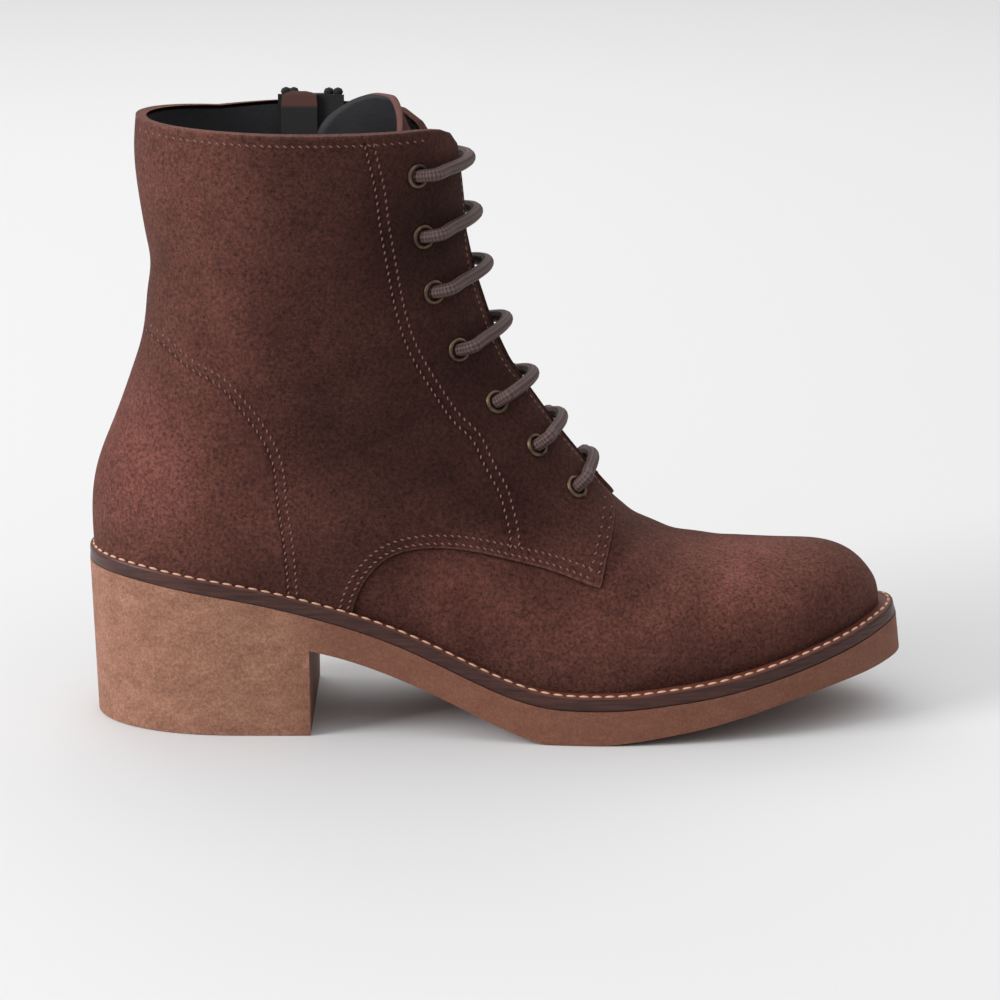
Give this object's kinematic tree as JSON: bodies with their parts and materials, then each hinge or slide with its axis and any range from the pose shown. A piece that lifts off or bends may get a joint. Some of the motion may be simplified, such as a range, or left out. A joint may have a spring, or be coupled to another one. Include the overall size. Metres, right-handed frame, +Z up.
{
  "type": "lace-up ankle boot",
  "caption": "Lace-up ankle boot for the right foot in brown nubuck, with a block heel, stitched welt, brass eyelets and an inner side zip.",
  "frame": {"origin": "middle of the outsole's box, on the floor", "axes": "+X towards the toe, +Y towards the inner side, +Z up"},
  "size_m": [0.27, 0.0916, 0.2039],
  "materials": {
    "suede": "matt nubuck",
    "rubber": "matt",
    "welt_leather": "satin",
    "lining": "matt",
    "lace": "flat waxed",
    "brass": "antique",
    "zip_cloth": "matt",
    "zip_metal": "satin"
  },
  "bodies": {
    "boot": {"outsole": "rubber", "welt": "welt_leather", "insole": "lining", "upper": "suede", "tongue": "suede", "eyelet_outer_1": "brass", "eyelet_inner_1": "brass", "eyelet_outer_2": "brass", "eyelet_inner_2": "brass", "eyelet_outer_3": "brass", "eyelet_inner_3": "brass", "eyelet_outer_4": "brass", "eyelet_inner_4": "brass", "eyelet_outer_5": "brass", "eyelet_inner_5": "brass", "eyelet_outer_6": "brass", "eyelet_inner_6": "brass", "eyelet_outer_7": "brass", "eyelet_inner_7": "brass", "lace_bar_1": "lace", "lace_bar_2": "lace", "lace_bar_3": "lace", "lace_bar_4": "lace", "lace_bar_5": "lace", "lace_bar_6": "lace", "lace_bar_7": "lace", "zip_chain": "zip_cloth", "zip_guard": "suede", "zip_slider": "zip_metal"},
    "pull_tab": {"zip_pull": "zip_metal"}
  },
  "joints": [
    {"name": "pull_hinge", "type": "hinge", "parent": "boot", "child": "pull_tab", "pos_m": [-0.06077, 0.04103, 0.19498], "axis": [1, 0, 0], "range_deg": [-5, 120]}
  ]
}
